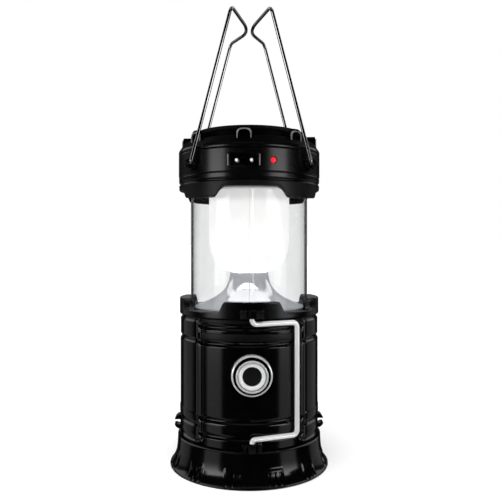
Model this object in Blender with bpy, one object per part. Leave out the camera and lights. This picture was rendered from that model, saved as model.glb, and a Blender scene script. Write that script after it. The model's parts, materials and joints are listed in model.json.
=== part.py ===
"""Collapsible solar camping lantern.

The lamp unit (cap, clear globe, frosted lamp) slides down into the hollow base. Two wire bails
hinge on the cap, a wire side handle hinges on the base, and the flared foot holds a torch.

Frame: +Z up, the front (push switch) faces -Y, the origin is the centre of the foot's underside.
Sizes are in millimetres, and MM turns them into Blender's metres.
"""
import math

import bmesh
import bpy
from mathutils import Vector

MM = 0.001

# ---- Driving dimensions -------------------------------------------------------------------
FOOT_R = 44.0               # widest radius, at the floor
BODY_R = 38.4               # base housing
CAP_R = 39.4                # cap housing
GLOBE_R = 32.4              # clear tube
GAP = 0.3                   # clearance between pieces that touch

FOOT_TOP = 17.5             # joint between the flared foot and the housing
COLLAR_LOW = 83.5           # joint between the housing and the castellated collar
TAB_TOP = 92.2              # top of the collar's tabs
VALLEY_TOP = 86.6           # top of the collar between its tabs
LUG_LOW = 145.6             # underside of the cap's lugs
WINDOW_TOP = 150.8          # underside of the cap between its lugs
CAP_FLOOR = 151.4           # underside of the cap's floor
CAP_JOINT = 170.3           # joint between the cap housing and its top
DECK_TOP = 183.0            # top of the whole cap

WELL_R = 36.2               # bore of the housing, where the lamp unit slides
TAB_ANGLES = (21.0, 27.0)       # half-angles of a collar tab: at its top, at its foot
WINDOW_ANGLES = (21.2, 29.3)    # half-angles of a cap window: at its top, at its foot

BAIL_WIRE_R = 0.9
BAIL_PIVOT = (31.1, 30.0, 163.2)    # x of the pivot axis, y of the legs, height
BAIL_LEG = 83.4
BAIL_LEAN = 14.5            # degrees, inwards from vertical
BAIL_BULGE = 10.8           # the grip's unrounded point, square to the plane of the legs
BAIL_BULGE_FILLET = 32.0

HANDLE_WIRE_R = 1.3
HANDLE_PIVOT_Y = -41.9
HANDLE_BAR = (23.3, -33.6)  # where the upright bar lies when folded against the base
HANDLE_ARMS = (24.3, 81.6)  # heights of the two arms

SWITCH_Z = 55.8
CAP_TWIST = -6.0            # the top and the inlet sit turned from the base's front
INLET_Z = 163.8
CHARGE_LED_ANGLE = 16.5
USB_Z = 163.5
CLIP_CENTRE = (39.6, 22.6)  # x and height of the clips that hold a folded bail

STEPS = 40                  # facets round a large turned piece
SMALL_STEPS = 14            # facets round a small one
HIDDEN_STEPS = 32           # facets round a large piece inside the casings


# ---- Materials ----------------------------------------------------------------------------
def principled(name, colour, roughness, metallic=0.0, alpha=1.0, glow=0.0):
    material = bpy.data.materials.new(name)
    material.use_nodes = True
    shader = material.node_tree.nodes["Principled BSDF"]
    shader.inputs["Base Color"].default_value = (*colour, 1.0)
    shader.inputs["Roughness"].default_value = roughness
    shader.inputs["Metallic"].default_value = metallic
    shader.inputs["Alpha"].default_value = alpha
    shader.inputs["Emission Color"].default_value = (*colour, 1.0)
    shader.inputs["Emission Strength"].default_value = glow
    material.diffuse_color = (*colour, alpha)
    return material


def make_materials():
    return {
        "black_plastic": principled("black_plastic", (0.012, 0.012, 0.014), 0.28),
        "chrome_wire": principled("chrome_wire", (0.72, 0.72, 0.73), 0.14, 1.0),
        "chrome_trim": principled("chrome_trim", (0.70, 0.70, 0.71), 0.10, 1.0),
        "silver_plastic": principled("silver_plastic", (0.66, 0.67, 0.68), 0.32, 0.6),
        "black_rubber": principled("black_rubber", (0.02, 0.02, 0.02), 0.6),
        "clear_plastic": principled("clear_plastic", (0.92, 0.94, 0.95), 0.05, alpha=0.25),
        "frosted_plastic": principled("frosted_plastic", (1.0, 1.0, 0.98), 0.5, glow=2.0),
        "mirror_plastic": principled("mirror_plastic", (0.80, 0.80, 0.82), 0.08, 1.0),
        "red_led": principled("red_led", (0.8, 0.02, 0.03), 0.25, glow=1.0),
        "led_yellow": principled("led_yellow", (0.85, 0.72, 0.20), 0.35),
        "green_board": principled("green_board", (0.03, 0.20, 0.08), 0.45),
        "white_board": principled("white_board", (0.82, 0.83, 0.82), 0.4),
        "solar_cell": principled("solar_cell", (0.01, 0.015, 0.06), 0.12),
        "blue_sleeve": principled("blue_sleeve", (0.03, 0.12, 0.42), 0.35),
        "steel": principled("steel", (0.55, 0.55, 0.56), 0.3, 1.0),
        "brass": principled("brass", (0.78, 0.62, 0.30), 0.25, 1.0),
    }


# ---- Mesh helpers -------------------------------------------------------------------------
def place(obj, location=(0.0, 0.0, 0.0), facing=None):
    """Place an object. With facing, its local Z points out from the axis at that many degrees
    from the front, counted towards +X, and its local Y points up."""
    obj.location = Vector(location) * MM
    if facing is not None:
        obj.rotation_euler = (math.radians(90.0), 0.0, math.radians(facing))
    return obj


def finish_mesh(name, bm, material):
    bmesh.ops.recalc_face_normals(bm, faces=bm.faces[:])
    mesh = bpy.data.meshes.new(name)
    bm.to_mesh(mesh)
    bm.free()
    mesh.shade_smooth()
    mesh.set_sharp_from_angle(angle=math.radians(30.0))
    mesh.materials.append(material)
    obj = bpy.data.objects.new(name, mesh)
    bpy.context.collection.objects.link(obj)
    return obj


def around(radius, degrees, height=0.0):
    """The point at a radius and an angle from the front, counted towards +X."""
    angle = math.radians(degrees)
    return Vector((radius * math.sin(angle), -radius * math.cos(angle), height))


def turned(name, outline, material, steps=STEPS, angles=None, **placing):
    """A solid of revolution from a closed (radius, height) outline. The outline may be a
    function of the angle, which then varies round the piece. A point on the axis that is level
    with its neighbour only marks a flat end, which is one face."""
    angles = angles or [360.0 * i / steps for i in range(steps)]
    section = outline if callable(outline) else (lambda degrees: outline)
    bm = bmesh.new()
    rows = []
    for degrees in angles:
        rows.append([(r, around(r, degrees, z) * MM) for r, z in section(degrees)])
    count = len(rows[0])
    verts = []
    for j in range(count):
        if rows[0][j][0] > 0.0:
            verts.append([bm.verts.new(row[j][1]) for row in rows])
        elif rows[0][j][1].z in (rows[0][j - 1][1].z, rows[0][(j + 1) % count][1].z):
            verts.append(None)
        else:
            verts.append([bm.verts.new(rows[0][j][1])] * len(rows))
    for j in range(count):
        here, there = verts[j], verts[(j + 1) % count]
        if rows[0][j][0] == rows[0][(j + 1) % count][0] == 0.0:
            continue
        if here is None or there is None:
            bm.faces.new(here or there)
            continue
        for i in range(len(rows)):
            k = (i + 1) % len(rows)
            corners = []
            for vert in (here[i], here[k], there[k], there[i]):
                if vert not in corners:
                    corners.append(vert)
            if len(corners) > 2:
                bm.faces.new(corners)
    return place(finish_mesh(name, bm, material), **placing)


def disc(name, radius, low, high, material, steps=STEPS, **placing):
    outline = [(0.0, low), (radius, low), (radius, high), (0.0, high)]
    return turned(name, outline, material, steps, **placing)


def ring(name, inner, outer, low, high, material, steps=STEPS, **placing):
    outline = [(inner, low), (outer, low), (outer, high), (inner, high)]
    return turned(name, outline, material, steps, **placing)


def prism(name, outline, near, far, material, **placing):
    """A flat outline in local X and Y, extruded along local Z."""
    bm = bmesh.new()
    back = [bm.verts.new(Vector((x, y, near)) * MM) for x, y in outline]
    front = [bm.verts.new(Vector((x, y, far)) * MM) for x, y in outline]
    bm.faces.new(back)
    bm.faces.new(front)
    for i in range(len(outline)):
        k = (i + 1) % len(outline)
        bm.faces.new((back[i], back[k], front[k], front[i]))
    return place(finish_mesh(name, bm, material), **placing)


def rectangle(width, height, centre=(0.0, 0.0)):
    x, y = centre
    w, h = width / 2, height / 2
    return [(x - w, y - h), (x + w, y - h), (x + w, y + h), (x - w, y + h)]


def arc(centre, radius, start, end, steps):
    """Points on a circle between two angles in degrees."""
    points = []
    for i in range(steps + 1):
        angle = math.radians(start + (end - start) * i / steps)
        points.append((centre[0] + radius * math.cos(angle), centre[1] + radius * math.sin(angle)))
    return points


def rounded_path(corners, radii, steps=5):
    """A path through 3-D corners, each inner corner rounded to its own radius."""
    corners = [Vector(c) for c in corners]
    path = [corners[0]]
    for i, radius in enumerate(radii, start=1):
        before = (corners[i - 1] - corners[i]).normalized()
        after = (corners[i + 1] - corners[i]).normalized()
        half = before.angle(after) / 2
        centre = corners[i] + (before + after).normalized() * (radius / math.sin(half))
        start = corners[i] + before * (radius / math.tan(half)) - centre
        end = corners[i] + after * (radius / math.tan(half)) - centre
        sweep = math.pi - 2 * half
        for step in range(steps + 1):
            part = sweep * step / steps
            path.append(centre + (start * math.sin(sweep - part) + end * math.sin(part)) / math.sin(sweep))
    path.append(corners[-1])
    return path


def wire(name, path, radius, material, sides=8, **placing):
    """A round wire swept along a path, with flat ends."""
    bm = bmesh.new()
    count = len(path)
    tangents = [(path[min(i + 1, count - 1)] - path[max(i - 1, 0)]).normalized() for i in range(count)]
    side = tangents[0].orthogonal().normalized()
    rings = []
    for i, point in enumerate(path):
        side = (side - tangents[i] * side.dot(tangents[i])).normalized()
        up = tangents[i].cross(side)
        loop = []
        for s in range(sides):
            turn = 2 * math.pi * s / sides
            loop.append(bm.verts.new((point + (side * math.cos(turn) + up * math.sin(turn)) * radius) * MM))
        rings.append(loop)
    for lower, upper in zip(rings, rings[1:]):
        for s in range(sides):
            t = (s + 1) % sides
            bm.faces.new((lower[s], lower[t], upper[t], upper[s]))
    bm.faces.new(rings[0])
    bm.faces.new(rings[-1])
    return place(finish_mesh(name, bm, material), **placing)


def combine(target, tool, operation):
    """Join a tool to the target, or cut it away, and remove the tool."""
    modifier = target.modifiers.new(operation.lower(), "BOOLEAN")
    modifier.operation = operation
    modifier.object = tool
    bpy.context.view_layer.objects.active = target
    bpy.ops.object.modifier_apply(modifier=modifier.name)
    bpy.data.objects.remove(tool)


def join(target, *tools):
    for tool in tools:
        combine(target, tool, "UNION")


def cut(target, *tools):
    for tool in tools:
        combine(target, tool, "DIFFERENCE")


# ---- Castellated edges --------------------------------------------------------------------
def from_quarter(degrees):
    """The angle from the nearest of the four quarter points, 0 to 45."""
    return abs((degrees + 45.0) % 90.0 - 45.0)


def quarter_stations(top, foot):
    """Angles all round, close together on the flanks between a top and a foot half-angle."""
    half = [top * i / 3 for i in range(3)]
    half += [top, (top + foot) / 2, foot]
    half += [(foot + 45.0) / 2, 45.0]
    stations = set()
    for quarter in range(4):
        for angle in half:
            stations.add(round((90.0 * quarter + angle) % 360.0, 6))
            stations.add(round((90.0 * quarter - angle) % 360.0, 6))
    return sorted(stations)


def castle_height(degrees, half_angles, inside, outside):
    """Height of an edge that is at one level inside the half-angles and another outside."""
    top, foot = half_angles
    share = (from_quarter(degrees) - top) / (foot - top)
    share = min(max(share, 0.0), 1.0)
    share = share * share * (3.0 - 2.0 * share)
    return inside + (outside - inside) * share


# ---- Base ---------------------------------------------------------------------------------
def clip_outline(side):
    """A C-shaped clip that opens outwards, on the +X side or mirrored to -X."""
    x, z = CLIP_CENTRE
    tall, outer, bore, mouth, fillet = 3.9, 41.8, 1.5, 1.2, 1.6
    mouth_angle = math.degrees(math.asin(mouth / bore))
    points = [(BODY_R - 1.4, z - tall)]
    points += arc((outer - fillet, z - tall + fillet), fillet, -90.0, 0.0, 3)
    points += arc((x, z), bore, -mouth_angle, mouth_angle - 360.0, 12)
    points += arc((outer - fillet, z + tall - fillet), fillet, 0.0, 90.0, 3)
    points.append((BODY_R - 1.4, z + tall))
    return [(side * px, pz) for px, pz in points]


def handle_boss(name, material, half_width, low, high, hole_low, hole_high):
    """A block on the front that takes one end of the side handle's wire, and its drill."""
    front, back = 43.9, 37.4
    boss = prism(name, rectangle(2 * half_width, high - low, (0.0, (low + high) / 2)),
                 back, front, material, facing=0.0)
    drill = disc(name + "_drill", HANDLE_WIRE_R + 0.15, hole_low, hole_high, material,
                 SMALL_STEPS, location=(0.0, HANDLE_PIVOT_Y, 0.0))
    return boss, drill


def make_base(mat):
    black = mat["black_plastic"]

    # Housing: a tube with raised rings near both ends and grooves that clear the wires.
    low = FOOT_TOP + GAP
    outline = [
        (WELL_R, low), (38.2, low), (38.2, 19.4), (37.8, 20.0), (37.8, 25.4), (38.4, 26.2),
        (38.65, 28.0), (38.3, 29.6), (37.2, 30.8), (38.2, 33.6), (BODY_R, 36.0), (BODY_R, 70.2),
        (37.85, 71.8), (38.55, 73.2), (38.75, 75.7), (38.55, 78.0), (37.95, 78.7),
        (37.95, COLLAR_LOW - GAP), (WELL_R, COLLAR_LOW - GAP)]
    housing = turned("base_housing", outline, black)
    for side in (-1, 1):
        join(housing, prism("clip", clip_outline(side), -3.0, 3.0, black, facing=0.0))
    boss, drill = handle_boss("lower_boss", black, 5.0, low, 22.6, 18.8, 24.0)
    join(housing, boss)
    cut(housing, drill)
    cut(housing, disc("switch_hole", 10.65, 34.0, 42.0, black, 28, location=(0.0, 0.0, SWITCH_Z),
                      facing=0.0))

    # Collar: a ring with four tabs that fill the cap's windows when the lantern is closed.
    def collar_section(degrees):
        top = castle_height(degrees, TAB_ANGLES, TAB_TOP, VALLEY_TOP)
        return [(33.2, COLLAR_LOW), (38.8, COLLAR_LOW), (38.8, top - 0.6), (38.2, top),
                (33.2, top)]
    collar = turned("collar_ring", collar_section, black, angles=quarter_stations(*TAB_ANGLES))
    boss, drill = handle_boss("upper_boss", black, 6.0, 84.4, 88.8, 83.9, 87.9)
    join(collar, boss)
    cut(collar, drill)

    # Foot: a concave flare round the torch, flat underneath.
    flare = []
    for i in range(7):
        z = 1.0 + (12.6 - 1.0) * i / 6
        flare.append((39.65 + 3.6 * math.exp(-(z - 1.0) / 4.6), z))
    outline = [(35.6, 0.0), (FOOT_R - 0.4, 0.0), (FOOT_R, 0.3), (FOOT_R, 0.6)] + flare
    outline += [(39.7, FOOT_TOP), (37.2, FOOT_TOP), (37.2, 2.4), (35.6, 2.4)]
    turned("torch_bezel", outline, black)


def make_torch(mat):
    ring("lens_seal", 35.8, 36.9, 2.4 + GAP, 3.5, mat["black_rubber"], HIDDEN_STEPS)
    disc("torch_lens", 36.9, 3.8, 5.6, mat["clear_plastic"])

    # Reflector: a thin parabolic dish, open round the LED.
    def dish(radius):
        return 16.6 - 10.0 * ((radius - 5.0) / 30.0) ** 2
    inner = [(r, dish(r)) for r in (5.0, 15.0, 25.0, 35.0)]
    outer = [(r, z + 0.8) for r, z in reversed(inner)]
    outline = inner + [(35.0, 5.9), (36.9, 5.9), (36.9, 6.8), (36.0, 7.4)] + outer
    turned("torch_reflector", outline, mat["mirror_plastic"], HIDDEN_STEPS)

    board = disc("torch_board", 28.0, 17.7, 19.2, mat["white_board"], HIDDEN_STEPS)
    bulkhead = disc("base_bulkhead", WELL_R - GAP, 19.5, 22.0, mat["black_plastic"], HIDDEN_STEPS)
    turned("torch_led", [(0.0, 14.9), (1.2, 15.1), (2.2, 15.8), (2.6, 16.6), (2.6, 17.4), (0.0, 17.4)],
           mat["led_yellow"], SMALL_STEPS)
    for i in range(3):
        spot = around(23.0, 60.0 + 120.0 * i)
        hole = dict(location=(spot.x, spot.y, 0.0))
        cut(board, disc("hole", 1.4, 17.0, 20.0, mat["steel"], SMALL_STEPS, **hole))
        cut(bulkhead, disc("hole", 1.4, 19.0, 23.0, mat["steel"], SMALL_STEPS, **hole))
        screw("bulkhead_screw_%d" % (i + 1), mat["steel"], 17.9, 22.3, **hole)


def screw(name, material, low, seat, **placing):
    """A round-headed screw standing on local Z, its head above the seat."""
    outline = [(0.0, low), (1.1, low), (1.1, seat), (2.4, seat), (2.4, seat + 0.6),
               (1.6, seat + 1.4), (0.0, seat + 1.6)]
    return turned(name, outline, material, 12, **placing)


def make_switch(mat):
    spot = dict(location=(0.0, 0.0, SWITCH_Z), facing=0.0)
    bezel = [(7.2, 36.7), (10.35, 36.7), (10.35, 40.4), (9.8, 41.4), (8.9, 41.9), (8.55, 43.3),
             (8.1, 43.9), (7.6, 43.9), (7.2, 43.4)]
    turned("switch_bezel", bezel, mat["chrome_trim"], 28, **spot)
    inner_ring = [(4.8, 36.9), (6.95, 36.9), (6.95, 42.5), (6.3, 43.0), (5.3, 43.0), (4.8, 42.6)]
    turned("switch_ring", inner_ring, mat["silver_plastic"], 24, **spot)
    disc("switch_contact", 4.3, 36.9, 38.1, mat["steel"], SMALL_STEPS, **spot)
    button = [(0.0, 39.6), (4.6, 39.6), (4.6, 41.8), (4.1, 42.2), (0.0, 42.3)]
    turned("switch_button", button, mat["black_rubber"], 24, **spot)


def make_side_handle(mat):
    low, high = HANDLE_ARMS
    reach = Vector((HANDLE_BAR[0], HANDLE_BAR[1] - HANDLE_PIVOT_Y, 0.0))
    up = Vector((0.0, 0.0, 1.0))
    corners = [up * 87.4, up * high, reach + up * high, reach + up * low, up * low, up * 19.4]
    path = rounded_path(corners, (2.6, 2.6, 2.6, 1.5))
    wire("side_handle", path, HANDLE_WIRE_R, mat["chrome_wire"],
         location=(0.0, HANDLE_PIVOT_Y, 0.0))


# ---- Lamp unit ----------------------------------------------------------------------------
def make_cap(mat):
    black = mat["black_plastic"]

    # Housing: wall, floor and four lugs that hug the globe.
    def cap_section(degrees):
        foot = castle_height(degrees, WINDOW_ANGLES, WINDOW_TOP, LUG_LOW)
        return [(GLOBE_R + 0.4, foot), (38.8, foot), (39.2, foot + 0.5), (39.2, 157.0),
                (38.7, 157.4), (CAP_R, 157.9), (CAP_R, CAP_JOINT), (36.6, CAP_JOINT),
                (36.6, 153.2), (4.0, 153.2), (4.0, CAP_FLOOR), (GLOBE_R + 0.4, CAP_FLOOR)]
    cap = turned("cap_housing", cap_section, black, angles=quarter_stations(*WINDOW_ANGLES))

    # Bosses for the bail pins, at the four corners, each with a blind hole.
    x, _, z = BAIL_PIVOT
    for side in (-x, x):
        for facing in (0.0, 180.0):
            spot = dict(location=(side, 0.0, z), facing=facing)
            join(cap, disc("boss", 3.0, 18.3, 28.7, black, SMALL_STEPS, **spot))
            cut(cap, disc("drill", BAIL_WIRE_R + 0.15, 25.0, 30.0, black, SMALL_STEPS, **spot))

    # Pillars under the control board, drilled for its screws.
    for i in range(4):
        spot = around(31.0, 45.0 + 90.0 * i)
        post = dict(location=(spot.x, spot.y, 0.0))
        join(cap, disc("pillar", 3.2, 152.6, 172.8, black, SMALL_STEPS, **post))
        cut(cap, disc("drill", 1.4, 166.0, 174.0, black, SMALL_STEPS, **post))

    # Openings for the charging inlet, its light and the USB socket.
    cut(cap, prism("inlet_cut", rectangle(15.4, 8.0), 34.0, 42.0, black,
                   location=(0.0, 0.0, INLET_Z), facing=CAP_TWIST))
    cut(cap, disc("led_cut", 1.8, 34.0, 42.0, black, SMALL_STEPS, location=(0.0, 0.0, INLET_Z),
                  facing=CHARGE_LED_ANGLE))
    cut(cap, prism("usb_cut", rectangle(13.8, 6.4), 34.0, 42.0, black,
                   location=(0.0, 0.0, USB_Z), facing=180.0))

    # Top: chamfered shoulder, raised tier with eight teeth, and a recess for the solar panel.
    low = CAP_JOINT + GAP
    outline = [(36.6, low), (39.1, low), (CAP_R, low + 0.5), (CAP_R, 172.3), (36.2, 176.7),
               (32.4, 176.9), (32.4, 180.6), (30.2, DECK_TOP), (27.6, DECK_TOP), (27.6, 181.0),
               (3.0, 181.0), (3.0, 179.2), (29.8, 179.2), (29.8, 175.9), (34.4, 175.6),
               (36.6, 172.6)]
    top = turned("cap_top", outline, black)
    arch = [(-4.1, 175.6), (4.1, 175.6)]
    arch += arc((1.3, 178.1), 2.8, 0.0, 90.0, 3)
    arch += arc((-1.3, 178.1), 2.8, 90.0, 180.0, 3)
    for i in range(8):
        join(top, prism("tooth", arch, 31.0, 36.9, black, facing=CAP_TWIST + 45.0 * i))


def make_cap_contents(mat):
    disc("solar_panel", 27.3, 181.3, 182.5, mat["solar_cell"])

    board = disc("control_board", 33.0, 173.1, 174.6, mat["green_board"], HIDDEN_STEPS)
    for i in range(4):
        spot = around(31.0, 45.0 + 90.0 * i)
        hole = dict(location=(spot.x, spot.y, 0.0))
        cut(board, disc("hole", 1.4, 172.0, 176.0, mat["steel"], SMALL_STEPS, **hole))

    # The board's screws stand under the sloping shoulder, so their heads are low.
    for i in range(4):
        spot = around(31.0, 45.0 + 90.0 * i)
        outline = [(0.0, 167.0), (1.1, 167.0), (1.1, 174.9), (2.1, 174.9), (1.7, 175.4), (0.0, 175.5)]
        turned("board_screw_%d" % (i + 1), outline, mat["steel"], 10,
               location=(spot.x, spot.y, 0.0))

    # The cell lies across the cap.
    cell = [(0.0, -32.5), (8.6, -32.5), (9.1, -32.0), (9.1, 31.0), (8.6, 31.5), (3.0, 31.5),
            (3.0, 32.5), (0.0, 32.5)]
    turned("battery_cell", cell, mat["blue_sleeve"], 20, location=(0.0, 0.0, 163.0), facing=90.0)

    # Charging inlet: a cup in the cap's wall with two pins standing in it.
    spot = dict(location=(0.0, 0.0, INLET_Z), facing=CAP_TWIST)
    cup = prism("inlet_cup", rectangle(14.8, 7.4), 32.0, 38.6, mat["black_plastic"], **spot)
    cut(cup, prism("hollow", rectangle(13.4, 6.2), 33.4, 40.0, mat["black_plastic"], **spot))
    sideways = around(1.0, CAP_TWIST + 90.0)
    for name, offset in (("inlet_pin_left", -3.8), ("inlet_pin_right", 3.8)):
        pin_spot = dict(location=(sideways.x * offset, sideways.y * offset, INLET_Z),
                        facing=CAP_TWIST)
        cut(cup, disc("hole", 1.15, 31.0, 34.0, mat["brass"], SMALL_STEPS, **pin_spot))
        pin = [(0.0, 31.0), (0.95, 31.0), (0.95, 37.2), (0.5, 37.8), (0.0, 37.9)]
        turned(name, pin, mat["brass"], 10, **pin_spot)

    led = [(0.0, 34.6), (1.5, 34.6), (1.5, 38.8), (1.1, 39.5), (0.0, 39.8)]
    turned("charge_led", led, mat["red_led"], 16, location=(0.0, 0.0, INLET_Z),
           facing=CHARGE_LED_ANGLE)

    # USB socket: a shell that is open at the rear, with its tongue inside.
    spot = dict(location=(0.0, 0.0, USB_Z), facing=180.0)
    socket = prism("usb_socket", rectangle(13.2, 5.8), 27.0, 39.0, mat["steel"], **spot)
    cut(socket, prism("hollow", rectangle(12.2, 4.8), 27.6, 40.0, mat["steel"], **spot))
    prism("usb_tongue", rectangle(10.6, 1.5, (0.0, 1.3)), 27.9, 37.6, mat["white_board"], **spot)


def make_usb_flap(mat):
    """A rubber flap that hangs from its top edge over the USB socket."""
    plate, depth = rectangle(17.0, 10.2, (0.0, -5.1)), 1.2
    axis_z, axis_y = 168.7, 40.3
    flap = prism("usb_flap", plate, -depth / 2, depth / 2, mat["black_rubber"],
                 location=(0.0, axis_y, axis_z), facing=180.0)
    join(flap, prism("plug", rectangle(9.0, 2.4, (0.0, USB_Z - axis_z)), -1.4, 0.0,
                     mat["black_rubber"], location=(0.0, axis_y, axis_z), facing=180.0))


def make_lamp(mat):
    clear = mat["clear_plastic"]
    ring("globe_tube", GLOBE_R - 1.5, GLOBE_R, COLLAR_LOW, CAP_FLOOR - GAP, clear)
    ring("stop_ring", 29.6, 35.6, 80.2, COLLAR_LOW - GAP, mat["black_plastic"])
    disc("lamp_base", 30.5, 84.2, 86.2, mat["black_plastic"])

    # Frosted lamp shade: straight sides, a wide rounding, and a flat bottom.
    top, bottom, radius, fillet, wall = 151.0, 106.0, 22.5, 12.5, 1.2
    outer = arc((radius - fillet, bottom + fillet), fillet, 0.0, -90.0, 5)
    inner = arc((radius - fillet, bottom + fillet), fillet - wall, -90.0, 0.0, 3)
    outline = [(radius, top)] + outer + [(0.0, bottom), (0.0, bottom + wall)] + inner
    outline.append((radius - wall, top))
    turned("lamp_diffuser", outline, mat["frosted_plastic"], 32)

    # Bell: a mirrored skirt under the shade, hollow and open below.
    def bell(share):
        z = 105.7 - (105.7 - 87.4) * share
        return 10.6 + 2.6 * share + 16.6 * share ** 3.2, z
    outer = [bell(i / 6) for i in range(7)]
    inner = [(r - 1.0, z - 0.9) for r, z in reversed(outer[::2])]
    outline = [(0.0, 105.7)] + outer + [(30.4, 87.2), (30.4, 86.5)] + inner + [(0.0, 104.8)]
    turned("bell_reflector", outline, mat["mirror_plastic"], 32)

    # Lamp LEDs on their board, inside the top of the shade, facing down.
    disc("lamp_board", 20.6, 149.4, 150.9, mat["white_board"], HIDDEN_STEPS)
    for i in range(6):
        spot = around(13.0, 60.0 * i)
        dome = [(0.0, 144.6), (1.6, 145.1), (2.4, 146.4), (2.4, 149.1), (0.0, 149.1)]
        turned("lamp_led_%d" % (i + 1), dome, mat["led_yellow"], 10,
               location=(spot.x, spot.y, 0.0))


def make_bail(name, side, mat):
    """One wire bail, leaning inwards from its pivots on the -X or +X side."""
    x, y, z = BAIL_PIVOT
    lean = math.radians(BAIL_LEAN)
    along = Vector((-side * math.sin(lean), 0.0, math.cos(lean)))
    inward = Vector((-side * math.cos(lean), 0.0, -math.sin(lean)))
    forward = Vector((0.0, -1.0, 0.0))
    pin = y - 4.4
    corners = [forward * pin, forward * y, forward * y + along * BAIL_LEG,
               along * BAIL_LEG + inward * BAIL_BULGE,
               along * BAIL_LEG - forward * y, -forward * y, -forward * pin]
    path = rounded_path(corners, (1.3, 3.0, BAIL_BULGE_FILLET, 3.0, 1.3))
    wire(name, path, BAIL_WIRE_R, mat["chrome_wire"], location=(side * x, 0.0, z))


def main():
    for obj in list(bpy.data.objects):
        bpy.data.objects.remove(obj)
    mat = make_materials()
    make_base(mat)
    make_torch(mat)
    make_switch(mat)
    make_side_handle(mat)
    make_cap(mat)
    make_cap_contents(mat)
    make_usb_flap(mat)
    make_lamp(mat)
    make_bail("bail_left", -1, mat)
    make_bail("bail_right", 1, mat)


main()
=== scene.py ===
"""Looks of the collapsible solar lantern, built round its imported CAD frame.

Every visible casing is rebuilt finer than its CAD solid: turned sections whose radius follows
the angle carry the ribs, grooves, tabs and lugs. Sizes are in millimetres, MM turns them into
metres, and places come from the CAD nodes' boxes. The front faces -Y.
"""
import json
import math
from math import cos, radians, sin

import bmesh
import bpy
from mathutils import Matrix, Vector


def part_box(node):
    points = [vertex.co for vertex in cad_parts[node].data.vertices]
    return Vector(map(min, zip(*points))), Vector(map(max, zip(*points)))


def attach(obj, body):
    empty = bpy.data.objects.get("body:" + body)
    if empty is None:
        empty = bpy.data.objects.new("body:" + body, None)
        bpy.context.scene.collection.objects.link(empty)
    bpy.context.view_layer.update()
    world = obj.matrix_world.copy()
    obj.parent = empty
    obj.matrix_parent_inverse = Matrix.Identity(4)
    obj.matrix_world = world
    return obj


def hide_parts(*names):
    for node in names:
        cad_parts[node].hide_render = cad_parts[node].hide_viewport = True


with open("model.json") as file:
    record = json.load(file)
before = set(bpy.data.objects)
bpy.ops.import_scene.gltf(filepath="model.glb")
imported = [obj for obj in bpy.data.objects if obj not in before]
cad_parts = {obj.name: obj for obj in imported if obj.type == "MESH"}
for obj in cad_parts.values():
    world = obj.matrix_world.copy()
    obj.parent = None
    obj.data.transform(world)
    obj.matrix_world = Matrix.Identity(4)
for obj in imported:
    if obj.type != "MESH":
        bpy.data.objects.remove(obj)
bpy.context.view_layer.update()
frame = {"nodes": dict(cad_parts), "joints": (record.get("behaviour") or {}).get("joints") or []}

MM = 0.001

# ---- Sizes that the frame doesn't give ----
BODY_R = 38.4               # housing wall, between its raised bands
WELL_R = 36.2               # bore of the housing
GLOBE_WALL = 0.5            # thickness of the clear tube
RIM_GAP = 0.3               # shadow gap where two casings meet

RIB_HALF = 1.8              # the housing's upright ribs: half width and how far they stand out
RIB_PROUD = 0.42
PANEL_EDGE = 45.0           # degrees from the front or back where the side panels start
# Bands: lowest and highest level, how far out; the sunk one clears a folded bail's wire.
# Grooves: level, half height, depth.
FRONT_BANDS = ((81.0, 84.5, 0.15), (72.6, 76.0, 0.35), (24.9, 30.0, 0.12))
FRONT_GROOVES = ((79.0, 1.5, 0.8), (70.6, 1.5, 0.7), (31.8, 1.7, 0.9), (23.5, 1.5, 0.8))
SIDE_BANDS = ((73.0, 80.8, -0.12), (28.8, 33.6, 0.25), (20.8, 23.4, 0.1))
SIDE_GROOVES = ((82.2, 1.6, 0.9), (71.4, 1.8, 0.8), (27.4, 1.4, 0.9), (19.6, 1.1, 0.7))
RIB_ENDS = (19.5, 82.0)     # heights of an upright rib's ends

GRIP_STEP = 30.0            # degrees between the foot's grip pads
GRIP_TURN = 1.5             # degrees that all the pads are turned
GRIP_SLOTS = (0.0, 3.1)     # distances of a pad's slots from its middle

# The bosses that take the side handle's wire: left and right edge of each upright rib.
UPPER_BOSS_RIBS = ((-5.9, -2.8), (-1.9, -0.8), (2.1, 5.9))
LOWER_BOSS_RIBS = ((-4.9, -2.9), (-1.8, 1.8), (2.9, 4.9))

TAB_ANGLES = (21.0, 27.0)       # half-angles of a collar tab: at its top, at its foot
VALLEY_DROP = 5.6               # from the collar's tabs to its valleys
WINDOW_ANGLES = (21.2, 29.3)    # half-angles of a cap window: at its top, at its foot
WINDOW_RISE = 5.2               # from the lugs' underside to the windows' top
CAP_TWIST = -6.0                # the cap's top and inlet sit turned from the front
CHARGE_LED_ANGLE = 16.5

BAIL_WIRE_R = 0.9
BAIL_PIN = 4.4              # how far the wire's ends reach into the cap's bosses
BAIL_LEG = 83.38
BAIL_LEAN = 14.5            # degrees, inwards from vertical
BAIL_BULGE = 10.8           # the grip's unrounded point, square to the plane of the legs
BAIL_BULGE_FILLET = 32.0

# ---- Camera ----
CAMERA_DISTANCE = 343.8
CAMERA_HEIGHT = 121.5
CAMERA_AZIMUTH = -2.0       # degrees from straight in front, towards -X
CAMERA_LENS = 43.9
CAMERA_SHIFT = (0.0017, -0.012)


# ---- Places in the frame ----
def span(node):
    """A CAD node's lowest and highest corner, in millimetres."""
    low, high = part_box(node)
    return low / MM, high / MM


def level(node):
    """The height of a node's middle."""
    low, high = span(node)
    return (low.z + high.z) / 2


def front_disc(node):
    """Radius, back and face of a round node on the front, counted outwards from the axis."""
    low, high = span(node)
    return (high.x - low.x) / 2, -high.y, -low.y


def pivot(joint):
    """A point on a joint's axis, in millimetres."""
    found = next(j for j in frame["joints"] if j["name"] == joint)
    return [value / MM for value in found["pos_m"]]


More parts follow.
